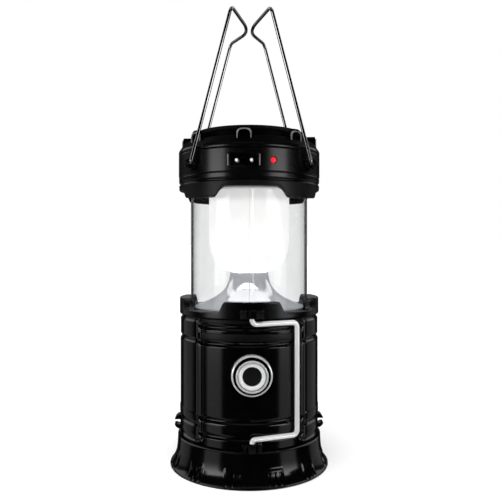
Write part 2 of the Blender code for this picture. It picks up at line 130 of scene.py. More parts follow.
# ---- Curves and steps ----


def smooth(share):
    share = min(max(share, 0.0), 1.0)
    return share * share * (3.0 - 2.0 * share)


def plateau(value, low, high, edge):
    """1 between low and high, falling smoothly to 0 over an edge inside them."""
    return smooth((value - low) / edge) * smooth((high - value) / edge)


def hump(value, centre, half_width):
    share = max(0.0, 1.0 - ((value - centre) / half_width) ** 2)
    return share * share


def stations(low, high, coarse, fine, zones):
    """Numbers from low to high, in fine steps inside the zones and coarse steps elsewhere."""
    value, found = low, [low]
    while value < high - 1e-6:
        inside = any(start - 1e-6 <= value < end - 1e-6 for start, end in zones)
        step_to = value + (fine if inside else coarse)
        starts = [start for start, _ in zones if value + 1e-6 < start < step_to]
        value = min(starts + [step_to, high])
        found.append(value)
    return found


def round_stations(coarse, fine, centres, reach):
    """Angles all round, fine within reach of each centre."""
    zones = []
    for centre in centres:
        start = (centre - reach) % 360.0
        if start + 2 * reach > 360.0:
            zones += [(start, 360.0), (0.0, start + 2 * reach - 360.0)]
        else:
            zones.append((start, start + 2 * reach))
    return stations(0.0, 360.0, coarse, fine, zones)[:-1]


def from_quarter(degrees):
    """The angle from the nearest of the four quarter points, 0 to 45."""
    return abs((degrees + 45.0) % 90.0 - 45.0)


def from_half(degrees):
    """The angle from the front or the back, whichever is nearer, 0 to 90."""
    return abs((degrees + 90.0) % 180.0 - 90.0)


def castle_height(degrees, half_angles, inside, outside):
    """Height of an edge that is at one level inside the half-angles and another outside."""
    top, foot = half_angles
    return inside + (outside - inside) * smooth((from_quarter(degrees) - top) / (foot - top))


def castle_stations(half_angles):
    top, foot = half_angles
    middle, reach = (top + foot) / 2 + 2.0, (foot - top) / 2 + 4.0
    centres = [90.0 * quarter + side * middle for quarter in range(4) for side in (-1, 1)]
    return round_stations(3.0, 0.7, centres, reach)


def rounded(corners, steps=3):
    """A closed outline from (x, y, reach) corners, each cut back by its reach and rounded. A
    point just past each end of a bend keeps the shading of the flats flat."""
    points = []
    for i, (x, y, reach) in enumerate(corners):
        here = Vector((x, y))
        if reach == 0.0:
            points.append((x, y))
            continue
        before = Vector(corners[i - 1][:2]) - here
        after = Vector(corners[(i + 1) % len(corners)][:2]) - here
        shorter = min(before.length, after.length)
        reach = min(reach, 0.45 * shorter)
        past = reach + 0.04 * shorter
        start, end = here + before.normalized() * reach, here + after.normalized() * reach
        bend = [start * (1 - t) ** 2 + here * 2 * t * (1 - t) + end * t * t
                for t in [step / steps for step in range(steps + 1)]]
        bend = [here + before.normalized() * past] + bend + [here + after.normalized() * past]
        points += [(point.x, point.y) for point in bend]
    return points


def arc(centre, radius, start, end, steps):
    """Points on a circle between two angles in degrees."""
    points = []
    for i in range(steps + 1):
        angle = radians(start + (end - start) * i / steps)
        points.append((centre[0] + radius * cos(angle), centre[1] + radius * sin(angle)))
    return points


def dome(radius, foot, tall, step):
    """Points over an elliptical dome from its foot towards the axis, without its two ends."""
    turns = [radians(angle) for angle in range(step, 90, step)]
    return [(radius * cos(turn), foot + tall * sin(turn)) for turn in turns]


def rounded_box(width, height, radius, centre=(0.0, 0.0)):
    """A rectangle with round corners, anticlockwise."""
    x, y = width / 2, height / 2
    corners = [(centre[0] + sx * x, centre[1] + sy * y, radius)
               for sx, sy in ((-1, -1), (1, -1), (1, 1), (-1, 1))]
    return rounded(corners, 5)


def around(radius, degrees, height=0.0):
    """The point at a radius and an angle from the front, counted towards +X."""
    angle = radians(degrees)
    return Vector((radius * sin(angle), -radius * cos(angle), height))


def rounded_path(corners, radii, steps=12):
    """A path through 3-D corners, each inner corner rounded to its own radius."""
    corners = [Vector(c) for c in corners]
    path = [corners[0]]
    for i, radius in enumerate(radii, start=1):
        before = (corners[i - 1] - corners[i]).normalized()
        after = (corners[i + 1] - corners[i]).normalized()
        half = before.angle(after) / 2
        centre = corners[i] + (before + after).normalized() * (radius / sin(half))
        start = corners[i] + before * (radius / math.tan(half)) - centre
        end = corners[i] + after * (radius / math.tan(half)) - centre
        sweep = math.pi - 2 * half
        for step in range(steps + 1):
            part = sweep * step / steps
            point = start * sin(sweep - part) + end * sin(part)
            path.append(centre + point / sin(sweep))
    path.append(corners[-1])
    return path


# ---- Materials ----
def feed(tree, value, socket):
    if isinstance(value, bpy.types.NodeSocket):
        tree.links.new(value, socket)
    else:
        socket.default_value = value


def maths(tree, operation, *values):
    node = tree.nodes.new("ShaderNodeMath")
    node.operation = operation
    for value, socket in zip(values, node.inputs):
        feed(tree, value, socket)
    return node.outputs[0]


def times(tree, first, second):
    return maths(tree, "MULTIPLY", first, second)


def plus(tree, first, second):
    return maths(tree, "ADD", first, second)


def remap(tree, value, from_low, from_high, to_low, to_high):
    """A smooth step from one level to another."""
    node = tree.nodes.new("ShaderNodeMapRange")
    node.interpolation_type = "SMOOTHSTEP"
    for item, socket in zip((value, from_low, from_high, to_low, to_high), node.inputs):
        feed(tree, item, socket)
    return node.outputs[0]


def blend_colours(tree, share, first, second):
    node = tree.nodes.new("ShaderNodeMix")
    node.data_type = "RGBA"
    feed(tree, share, node.inputs[0])
    feed(tree, first, node.inputs[6])
    feed(tree, second, node.inputs[7])
    return node.outputs[2]


def object_space(tree):
    return tree.nodes.new("ShaderNodeTexCoord").outputs["Object"]


def noise(tree, size, detail=2.0, stretch=(1.0, 1.0, 1.0)):
    """Noise in the object's own space, its features about size millimetres across."""
    mapping = tree.nodes.new("ShaderNodeMapping")
    mapping.inputs["Scale"].default_value = stretch
    tree.links.new(object_space(tree), mapping.inputs["Vector"])
    node = tree.nodes.new("ShaderNodeTexNoise")
    node.inputs["Scale"].default_value = 1.0 / (size * MM)
    node.inputs["Detail"].default_value = detail
    tree.links.new(mapping.outputs["Vector"], node.inputs["Vector"])
    return node.outputs[0]


def surface(name, colour, roughness, metallic=0.0, blotch=0.12, blotch_size=9.0, grain=0.03,
            grain_size=0.5, relief=0.002, wear=0.0, stretch=(1.0, 1.0, 1.0), extras=()):
    """A Principled material. Its colour varies in soft blotches, its roughness and height in
    fine grain, and wear lightens and dulls its outer edges. Sizes and relief in millimetres."""
    material = bpy.data.materials.new(name)
    material.use_nodes = True
    tree = material.node_tree
    shader = tree.nodes["Principled BSDF"]
    shader.inputs["Metallic"].default_value = metallic
    for socket, value in extras:
        shader.inputs[socket].default_value = value

    fine = noise(tree, grain_size, 3.0, stretch)
    soft = noise(tree, blotch_size)
    dark = (*[c * (1 - blotch) for c in colour], 1.0)
    light = (*[min(1.0, c * (1 + blotch)) for c in colour], 1.0)
    tint = blend_colours(tree, remap(tree, soft, 0.35, 0.65, 0.0, 1.0), dark, light)
    rough = remap(tree, fine, 0.3, 0.7, max(roughness - grain, 0.01), roughness + grain)
    if wear > 0.0:
        geometry = tree.nodes.new("ShaderNodeNewGeometry")
        edge = remap(tree, geometry.outputs["Pointiness"], 0.53, 0.62, 0.0, wear)
        edge = times(tree, edge, remap(tree, soft, 0.3, 0.6, 0.2, 1.0))
        worn = (*[c * 3.0 + 0.01 for c in colour], 1.0)
        tint = blend_colours(tree, edge, tint, worn)
        rough = plus(tree, rough, times(tree, edge, 0.12))
    tree.links.new(tint, shader.inputs["Base Color"])
    tree.links.new(rough, shader.inputs["Roughness"])
    bump = tree.nodes.new("ShaderNodeBump")
    bump.inputs["Distance"].default_value = relief * MM
    tree.links.new(fine, bump.inputs["Height"])
    tree.links.new(bump.outputs["Normal"], shader.inputs["Normal"])
    return material


def glowing(material, colour, strength, low, high, dim):
    """Makes a material give light, dimmer (a share) above one level and full below another."""
    tree = material.node_tree
    shader = tree.nodes["Principled BSDF"]
    split = tree.nodes.new("ShaderNodeSeparateXYZ")
    tree.links.new(object_space(tree), split.inputs[0])
    level = remap(tree, split.outputs["Z"], low * MM, high * MM, strength, strength * dim)
    shader.inputs["Emission Color"].default_value = (*colour, 1.0)
    tree.links.new(level, shader.inputs["Emission Strength"])
    return material


def solar_material():
    """Deep blue silicon with fine silver collector lines."""
    material = surface("solar_silicon", (0.006, 0.010, 0.045), 0.16, blotch=0.5, blotch_size=4.0,
                       extras=(("Coat Weight", 1.0), ("Coat Roughness", 0.05)))
    tree = material.node_tree
    shader = tree.nodes["Principled BSDF"]
    wave = tree.nodes.new("ShaderNodeTexWave")
    wave.bands_direction = "X"
    line_pitch = 1.1
    wave.inputs["Scale"].default_value = math.tau / (20.0 * line_pitch * MM)
    tree.links.new(object_space(tree), wave.inputs["Vector"])
    line = remap(tree, wave.outputs[0], 0.93, 0.985, 0.0, 0.75)
    tint = shader.inputs["Base Color"].links[0].from_socket
    silver = (0.45, 0.46, 0.48, 1.0)
    tree.links.new(blend_colours(tree, line, tint, silver), shader.inputs["Base Color"])
    return material


def make_materials():
    clear = (("Transmission Weight", 1.0), ("IOR", 1.32), ("Specular IOR Level", 0.12))
    return {
        "black_plastic": surface(
            "gloss_black", (0.0010, 0.0010, 0.0011), 0.13, blotch=0.25, grain=0.025, relief=0.0012,
            wear=0.5),
        "satin_black": surface(
            "satin_black", (0.0013, 0.0013, 0.0014), 0.23, blotch=0.25, grain_size=0.35, relief=0.0022,
            wear=0.5),
        # Band black is rougher and a little lighter than the gloss black: the roughness is a matte
        # finish, the lighter colour is painted sheen.
        "band_black_painted_sheen": surface(
            "band_black_painted_sheen", (0.0045, 0.0045, 0.0047), 0.34, blotch=0.3, grain=0.04, grain_size=0.3,
            relief=0.003, extras=(("Specular IOR Level", 0.25),)),
        # Grey for painted highlights: thin light lines standing for the light that the black plastic's
        # rounded edges catch.
        "painted_highlight_grey": surface(
            "painted_highlight_edge", (0.15, 0.15, 0.15), 0.22, blotch=0.2, blotch_size=1.5, grain=0.04,
            grain_size=0.3),
        "matte_black": surface(
            "matte_black", (0.0006, 0.0006, 0.0006), 0.42, blotch=0.3, grain=0.04, grain_size=0.3,
            extras=(("Specular IOR Level", 0.03),)),
        "chrome_wire": surface(
            "plated_wire", (0.50, 0.50, 0.51), 0.10, 1.0, blotch=0.08, grain_size=0.25, relief=0.0015),
        "bright_wire": surface(
            "bright_wire", (0.96, 0.96, 0.95), 0.22, 0.5, blotch=0.03, grain=0.04, grain_size=0.25,
            relief=0.0015),
        "chrome_trim": surface(
            "chrome_trim", (0.85, 0.85, 0.85), 0.18, 0.6, blotch=0.05, grain=0.02, grain_size=0.4,
            relief=0.0008),
        "silver_plastic": surface(
            "silver_paint", (0.86, 0.87, 0.87), 0.30, 0.3, blotch=0.05, grain=0.04, grain_size=0.12),
        "black_rubber": surface(
            "black_rubber", (0.0032, 0.0032, 0.0032), 0.48, blotch=0.3, grain=0.08, grain_size=0.25,
            relief=0.008),
        "clear_plastic": surface(
            "clear_acrylic", (0.97, 0.98, 0.98), 0.015, blotch=0.01, grain=0.008, grain_size=4.0,
            relief=0.0006, extras=clear),
        "frosted_plastic": glowing(
            surface("frosted_shade", (0.93, 0.93, 0.91), 0.42, blotch=0.02, grain=0.05, relief=0.003),
            (1.0, 0.995, 0.985), 0.80, 143.0, 148.0, 0.7),
        "mirror_plastic": surface(
            "vacuum_mirror", (0.86, 0.87, 0.89), 0.06, 0.9, blotch=0.03, grain=0.015, grain_size=1.5),
        # The bell's faint emission is painted light: a glow standing for the lamp's light falling on the
        # mirror.
        "bell_mirror_painted_glow": surface(
            "bell_mirror_painted_glow", (0.88, 0.89, 0.91), 0.05, 0.55, blotch=0.03, grain=0.015, grain_size=1.5,
            extras=(("Emission Color", (0.9, 0.94, 1.0, 1.0)), ("Emission Strength", 0.2))),
        "red_led": surface(
            "red_led", (0.75, 0.012, 0.02), 0.2, blotch=0.1, blotch_size=1.0, extras=(("Emission Color",
            (1.0, 0.02, 0.03, 1.0)), ("Emission Strength", 0.5), ("Coat Weight", 0.6))),
        "led_yellow": surface(
            "led_phosphor", (0.80, 0.62, 0.12), 0.35, blotch=0.2, blotch_size=0.8, grain=0.08,
            grain_size=0.15, relief=0.01),
        "green_board": surface(
            "solder_mask", (0.02, 0.16, 0.06), 0.35, blotch=0.4, blotch_size=2.5, grain=0.06,
            grain_size=0.3, relief=0.004),
        "white_board": surface(
            "white_mask", (0.74, 0.75, 0.73), 0.35, blotch=0.06, blotch_size=3.0, grain=0.05,
            grain_size=0.3, relief=0.004),
        "solar_cell": solar_material(),
        "blue_sleeve": surface(
            "shrink_sleeve", (0.02, 0.09, 0.36), 0.3, blotch=0.1, grain=0.06, grain_size=1.2,
            relief=0.03, stretch=(0.3, 1.0, 1.0)),
        "steel": surface(
            "zinc_steel", (0.50, 0.50, 0.52), 0.28, 1.0, blotch_size=1.5, grain=0.06, grain_size=0.15),
        "brass": surface(
            "nickel_plate", (1.0, 0.99, 0.96), 0.2, 0.1, blotch=0.02, blotch_size=1.0, grain=0.05,
            grain_size=0.12, relief=0.001),
        "dark_joint": surface(
            "encapsulant", (0.006, 0.007, 0.012), 0.3, blotch=0.2, blotch_size=2.0, grain=0.05),
    }


# ---- Mesh helpers ----
def place(obj, location=(0.0, 0.0, 0.0), facing=None):
    """Place an object. With facing, its local Z points out from the axis at that many degrees
    from the front, counted towards +X, and its local Y points up."""
    obj.location = Vector(location) * MM
    if facing is not None:
        obj.rotation_euler = (radians(90.0), 0.0, radians(facing))
    return obj


def finish_mesh(name, bm, material, sharp=32.0):
    bmesh.ops.recalc_face_normals(bm, faces=bm.faces[:])
    mesh = bpy.data.meshes.new(name)
    bm.to_mesh(mesh)
    bm.free()
    mesh.shade_smooth()
    mesh.set_sharp_from_angle(angle=radians(sharp))
    mesh.materials.append(material)
    obj = bpy.data.objects.new(name, mesh)
    bpy.context.collection.objects.link(obj)
    return obj


def turned(name, section, material, angles=None, steps=96, **placing):
    """A solid of revolution from a closed (radius, height) outline, or from a function that
    gives one for each angle. A level point on the axis only marks a flat end, one face."""
    angles = angles or [360.0 * i / steps for i in range(steps)]
    outline = section if callable(section) else (lambda degrees: section)
    bm = bmesh.new()
    rows = [[(r, around(r, degrees, z) * MM) for r, z in outline(degrees)] for degrees in angles]
    count = len(rows[0])
    verts = []
    for j in range(count):
        if rows[0][j][0] > 0.0:
            verts.append([bm.verts.new(row[j][1]) for row in rows])
        elif rows[0][j][1].z in (rows[0][j - 1][1].z, rows[0][(j + 1) % count][1].z):
            verts.append(None)
        else:
            verts.append([bm.verts.new(rows[0][j][1])] * len(rows))
    for j in range(count):
        here, there = verts[j], verts[(j + 1) % count]
        if rows[0][j][0] == rows[0][(j + 1) % count][0] == 0.0:
            continue
        if here is None or there is None:
            bm.faces.new(here or there)
            continue
        for i in range(len(rows)):
            k = (i + 1) % len(rows)
            corners = []
            for vert in (here[i], here[k], there[k], there[i]):
                if vert not in corners:
                    corners.append(vert)
            if len(corners) > 2:
                bm.faces.new(corners)
    return place(finish_mesh(name, bm, material), **placing)


def on_wall(height, facing):
    """Placing that points out from the axis, at a height and an angle from the front."""
    return dict(location=(0.0, 0.0, height), facing=facing)


def disc(name, radius, low, high, material, steps=48, edge=0.0, **placing):
    outline = [(0.0, low)] + rounded([(radius, low, edge), (radius, high, edge), (0.0, high, 0.0),
                                      (0.0, low, 0.0)])[:-2] + [(0.0, high)]
    return turned(name, outline, material, steps=steps, **placing)


def prism(name, outline, near, far, material, bevel=0.0, **placing):
    """A flat outline in local X and Y, extruded along local Z, with its far edges rounded."""
    bm = bmesh.new()
    back = [bm.verts.new(Vector((x, y, near)) * MM) for x, y in outline]
    front = [bm.verts.new(Vector((x, y, far)) * MM) for x, y in outline]
    bm.faces.new(back)
    cap = bm.faces.new(front)
    for i in range(len(outline)):
        k = (i + 1) % len(outline)
        bm.faces.new((back[i], back[k], front[k], front[i]))
    if bevel > 0.0:
        bmesh.ops.bevel(bm, geom=list(cap.edges), offset=bevel * MM, segments=4, profile=0.5,
                        affect="EDGES")
    return place(finish_mesh(name, bm, material), **placing)


def wire(name, path, radius, material, sides=20, **placing):
    """A round wire swept along a path, with slightly rounded ends."""
    first, last = (path[0] - path[1]).normalized(), (path[-1] - path[-2]).normalized()
    edge = 0.3 * radius
    path = [path[0], path[0] - first * edge] + path[1:-1] + [path[-1] - last * edge, path[-1]]
    bm = bmesh.new()
    count = len(path)
    tangents = [(path[min(i + 1, count - 1)] - path[max(i - 1, 0)]).normalized() for i in range(count)]
    side = tangents[0].orthogonal().normalized()
    rings = []
    for i, point in enumerate(path):
        side = (side - tangents[i] * side.dot(tangents[i])).normalized()
        up = tangents[i].cross(side)
        reach = radius - edge if i in (0, count - 1) else radius
        loop = []
        for s in range(sides):
            turn = math.tau * s / sides
            loop.append(bm.verts.new((point + (side * cos(turn) + up * sin(turn)) * reach) * MM))
        rings.append(loop)
    for lower, upper in zip(rings, rings[1:]):
        for s in range(sides):
            t = (s + 1) % sides
            bm.faces.new((lower[s], lower[t], upper[t], upper[s]))
    bm.faces.new(rings[0])
    bm.faces.new(rings[-1])
    return place(finish_mesh(name, bm, material, 50.0), **placing)


def gather(name, objects):
    """Joins objects into one, each staying its own closed body."""
    bpy.context.view_layer.update()
    bm = bmesh.new()
    for obj in objects:
        mesh = obj.data.copy()
        mesh.transform(obj.matrix_world)
        bm.from_mesh(mesh)
        bpy.data.meshes.remove(mesh)
    material = objects[0].data.materials[0]
    for obj in objects:
        bpy.data.objects.remove(obj)
    return finish_mesh(name, bm, material)


def combine(target, tools, operation):
    """Joins tools to the target, or cuts them away, in one Boolean."""
    tool = gather("tools", tools)
    modifier = target.modifiers.new(operation.lower(), "BOOLEAN")
    modifier.operation = operation
    modifier.object = tool
    bpy.context.view_layer.objects.active = target
    bpy.ops.object.modifier_apply(modifier=modifier.name)
    bpy.data.objects.remove(tool)
    target.data.shade_smooth()
    target.data.set_sharp_from_angle(angle=radians(32.0))


def repaint(obj, material, chosen):
    """A further material on the faces whose middle is chosen by its radius, angle and height."""
    obj.data.materials.append(material)
    slot_number = len(obj.data.materials) - 1
    for face in obj.data.polygons:
        x, y, z = face.center / MM
        if chosen(math.hypot(x, y), math.degrees(math.atan2(x, -y)), z):
            face.material_index = slot_number


def piece(obj, body, slot, *nodes):
    """Puts a finished piece on its body, in place of its CAD nodes."""
    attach(obj, body)
    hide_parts(*nodes)


# ---- Base ----
def make_foot(mat):
    """Flared foot with twelve pads of short grip slots."""
    _, high = span("torch_bezel")
    rim, top = high.x, high.z
    neck, swell, decay = rim - 4.35, 3.6, 4.6
    pad_half, pad_top, slot_half, slot_top = 5.2, 9.6, 0.75, 7.0
    heights = stations(0.9, top - 0.9, 1.0, 0.42, [(0.9, 10.2)])

    def radius(z, across):
        flare = neck + swell * math.exp(-(z - 1.0) / decay)
        pad = plateau(across, -pad_half, pad_half, 1.3) * smooth((pad_top - z) / 2.2)
        slot = 0.0
        for place_across in GRIP_SLOTS:
            slot += plateau(across, place_across - slot_half, place_across + slot_half, 0.45)
        slot *= plateau(z, 0.9, slot_top, 0.6)
        return min(flare + 0.35 * pad - 1.0 * slot, rim - 0.05)

    def section(degrees):
        from_pad = abs((degrees - GRIP_TURN) % GRIP_STEP - GRIP_STEP / 2)
        across = radians(from_pad) * (rim - 1.5)
        outline = [(35.6, 0.0), (rim - 0.4, 0.0), (rim - 0.12, 0.1), (rim, 0.35), (rim, 0.6)]
        outline += [(radius(z, across), z) for z in heights]
        outline += [(neck - 0.1, top - 0.6), (neck - 0.5, top - 0.35), (neck - 1.5, top)]
        return outline + [(37.2, top), (37.2, 2.4), (35.6, 2.4)]

    pads = [GRIP_TURN + GRIP_STEP * (i + 0.5) for i in range(12)]
    angles = round_stations(2.5, 0.5, pads, 7.5)
    piece(turned("foot", section, mat["black_plastic"], angles), "base", "black_plastic",
          "torch_bezel")


def housing_radius(z, degrees):
    """The housing's wall: raised bands and grooves that differ between the front or back panels
    and the side panels, and an upright rib with a groove each side where the panels meet."""
    front = side = BODY_R
    for low, high, proud in FRONT_BANDS:
        front += proud * plateau(z, low, high, 0.5)
    for level, half, depth in FRONT_GROOVES:
        front -= depth * hump(z, level, half)
    for low, high, proud in SIDE_BANDS:
        side += proud * plateau(z, low, high, 0.7)
    for level, half, depth in SIDE_GROOVES:
        side -= depth * hump(z, level, half)
    from_front = from_half(degrees)
    radius = front + (side - front) * smooth((from_front - PANEL_EDGE + 2.0) / 4.0)
    across = radians(from_front - PANEL_EDGE) * BODY_R
    here = plateau(z, *RIB_ENDS, 1.5)
    flank = max(0.0, 1.0 - abs(across) / RIB_HALF)
    radius += here * (RIB_PROUD + BODY_R - radius) * flank
    for beside in (-2.6, 2.6):
        radius -= here * 0.5 * hump(across, beside, 0.8)
    return radius


def handle_boss(name, material, half_width, low, high, ribs):
    """A block on the front that takes one end of the side handle's wire, with upright ribs."""
    front = -span("collar_ring")[0].y
    middle = (low + high) / 2
    parts = [prism(name, rounded_box(2 * half_width, high - low, 1.0, (0.0, middle)),
                   37.0, front - 0.45, material, 0.4, facing=0.0)]
    for left, right in ribs:
        shape = rounded_box(right - left, high - low - 0.4, 0.4, ((left + right) / 2, middle))
        parts.append(prism(name + "_rib", shape, 37.2, front, material, 0.4, facing=0.0))
    return parts


def handle_drill(mat, low, high):
    """The hole for the side handle's wire."""
    radius = handle_wire_radius()
    axis_y = span("side_handle")[0].y + radius
    return disc("drill", radius + 0.15, low, high, mat["black_plastic"], 24,
                location=(0.0, axis_y, 0.0))


def handle_wire_radius():
    """Radius of the side handle's wire, from how far it passes its joint's axis."""
    return pivot("side_handle_hinge")[1] - span("side_handle")[0].y


def make_housing(mat):
    """Hollow base housing with its clips, lower boss and switch opening."""
    low, high = span("base_housing")
    bottom, top = low.z, high.z
    black = mat["black_plastic"]
    zones = [(bottom, 35.2), (68.8, top)]
    heights = stations(bottom + 0.35, top - 0.35, 3.0, 0.4, zones)

    def section(degrees):
        outline = [(WELL_R, bottom), (housing_radius(bottom, degrees) - 0.9, bottom),
                   (housing_radius(bottom, degrees) - 0.25, bottom + 0.2)]
        outline += [(housing_radius(z, degrees), z) for z in heights]
        outline += [(housing_radius(top, degrees) - 0.12, top - 0.12),
                    (housing_radius(top, degrees) - 0.45, top)]
        return outline + [(WELL_R, top)]

    edges = [PANEL_EDGE + 90.0 * i for i in range(4)]
    housing = turned("housing", section, black, round_stations(2.5, 0.5, edges, 5.0))

    # Clips: C-shaped hooks that open outwards, one each side.
    clip_z, clip_x = 22.6, 39.2
    bore, mouth, tall, reach = 1.75, 1.3, 3.9, high.x - BODY_R
    mouth_angle = math.degrees(math.asin(mouth / bore))
    lip = math.asin(mouth / tall)
    lips = [lip + (math.pi / 2 - lip) * i / 12 for i in range(13)]
    upper = [(BODY_R + reach * cos(t), clip_z + tall * sin(t)) for t in lips]
    points = [(BODY_R - 1.6, clip_z - tall)] + [(x, 2 * clip_z - z) for x, z in reversed(upper)]
    points += arc((clip_x, clip_z), bore, -mouth_angle, mouth_angle - 360.0, 26)
    points += upper + [(BODY_R - 1.6, clip_z + tall)]
    tools = [prism("clip", [(side * x, z) for x, z in points], -3.0, 3.0, black, 0.35, facing=0.0)
             for side in (-1, 1)]
    tools += handle_boss("lower_boss", black, 5.0, bottom, 22.6, LOWER_BOSS_RIBS)
    for tool in tools:
        combine(housing, [tool], "UNION")
    hole = disc("hole", front_disc("switch_bezel")[0] + RIM_GAP, 34.0, 42.0, black, 72,
                **on_wall(level("switch_bezel"), 0.0))
    combine(housing, [hole, handle_drill(mat, 18.8, 24.0)], "DIFFERENCE")

    # The raised bands on the front and back panels get band black, whose lighter colour is painted sheen
    # for the light the bands reflect.
    def on_band(radius, degrees, z):
        panel = from_half(degrees) < PANEL_EDGE - 3.0
        return panel and radius > BODY_R and any(a < z < b for a, b, _ in FRONT_BANDS[:2])
    repaint(housing, mat["band_black_painted_sheen"], on_band)
    piece(housing, "base", "black_plastic", "base_housing")


def make_collar(mat):
    """Castellated ring with rounded tabs and the upper boss."""
    low, high = span("collar_ring")
    outer, bore = high.x, 33.2
    tab_top = high.z
    black = mat["satin_black"]

    def section(degrees):
        top = castle_height(degrees, TAB_ANGLES, tab_top, tab_top - VALLEY_DROP)
        return rounded([(bore, low.z, 0.2), (outer, low.z, 0.4), (outer, top, 0.7), (bore, top, 0.5)])

    collar = turned("collar", section, black, castle_stations(TAB_ANGLES))
    for tool in handle_boss("upper_boss", black, 6.0, 84.4, 88.8, UPPER_BOSS_RIBS):
        combine(collar, [tool], "UNION")
    combine(collar, [handle_drill(mat, 83.9, 87.9)], "DIFFERENCE")
    piece(collar, "base", "black_plastic", "collar_ring")


def make_torch(mat):
    """The torch in the foot: lens, dish and LED, seen from underneath; its seal stays as in the CAD."""
    low, high = span("torch_lens")
    lens = disc("torch_window", high.x, low.z, high.z, mat["clear_plastic"], 96, 0.3)
    piece(lens, "base", "clear_plastic", "torch_lens")

    low, high = span("torch_reflector")
    rim, bottom = high.x, low.z
    throat, spread, depth, wall = 5.0, 30.0, 10.0, 0.8

    def dish(radius):
        return high.z - wall - depth * ((radius - throat) / spread) ** 2
    radii = [throat + spread * i / 24 for i in range(25)]
    inner = [(r, dish(r)) for r in radii]
    outer = [(r, z + wall) for r, z in reversed(inner)]
    outline = inner + [(35.0, bottom), (rim, bottom), (rim, bottom + 0.9), (36.0, bottom + 1.5)]
    mirror = turned("torch_dish", outline + outer, mat["mirror_plastic"])
    piece(mirror, "base", "mirror_plastic", "torch_reflector")

    low, high = span("torch_led")
    tall = high.z - 0.8 - low.z
    bulb = [(0.0, low.z)] + [(high.x * sin(radians(a)), high.z - 0.8 - tall * cos(radians(a)))
                             for a in range(9, 91, 9)] + [(high.x, high.z), (0.0, high.z)]
    piece(turned("torch_emitter", bulb, mat["led_yellow"], steps=40), "base", "led_yellow",
          "torch_led")


def make_switch(mat):
    """Push switch: stepped chrome bezel, silver ring and a dished rubber button."""
    spot = on_wall(level("switch_bezel"), 0.0)
    rim, back, face = front_disc("switch_bezel")
    bezel = rounded([(7.2, back, 0.2), (rim, back, 0.2), (rim, face - 2.6, 0.5),
                     (rim - 0.9, face - 2.2, 0.4), (rim - 1.2, face - 2.9, 0.1),
                     (8.2, face - 2.9, 0.1), (8.1, face - 0.2, 0.4), (7.2, face - 0.1, 0.3)], 5)
    collar = turned("switch_collar", bezel, mat["chrome_trim"], steps=120, **spot)
    # The bezel's sunk floor between its outer rim and inner lip is painted matte black: painted shade in
    # the groove.
    repaint(collar, mat["matte_black"], lambda radius, degrees, z: 8.12 < radius < rim - 1.0)
    piece(collar, "base", "chrome_trim", "switch_bezel")

    rim, back, face = front_disc("switch_ring")
    inner = rounded([(4.8, back, 0.1), (rim, back, 0.1), (rim, face - 0.5, 0.3),
                     (rim - 0.7, face, 0.4), (5.4, face, 0.4), (4.8, face - 0.5, 0.3)], 5)
    piece(turned("switch_halo", inner, mat["silver_plastic"], steps=120, **spot), "base",
          "silver_plastic", "switch_ring")

    rim, back, face = front_disc("switch_button")
    crown = [(rim * share, face - 0.05 - 0.35 * (1 - share * share) * share)
             for share in (0.9, 0.75, 0.6, 0.45, 0.3, 0.15)]
    pad = [(0.0, back)] + rounded([(rim, back, 0.1), (rim, face - 0.1, 0.45), (rim * 0.9, face, 0.1),
                                   (0.0, back, 0.0)])[:-1] + crown + [(0.0, face - 0.06)]
    piece(turned("button_pad", pad, mat["black_rubber"], steps=72, **spot), "switch_button",
          "black_rubber", "switch_button")


def make_side_handle(mat):
    """Bent wire handle, folded to the front right."""
    low, high = span("side_handle")
    radius = handle_wire_radius()
    axis_y = low.y + radius
    bar = Vector((high.x - radius, -33.6 - axis_y, 0.0))
    arm_low, arm_high = 24.3, 81.6
    up = Vector((0.0, 0.0, 1.0))
    corners = [up * high.z, up * arm_high, bar + up * arm_high, bar + up * arm_low, up * arm_low,
               up * low.z]
    path = rounded_path(corners, (2.6, 2.6, 2.6, 1.5))
    handle = wire("side_wire", path, radius, mat["bright_wire"], location=(0.0, axis_y, 0.0))
    piece(handle, "side_handle", "chrome_wire", "side_handle")


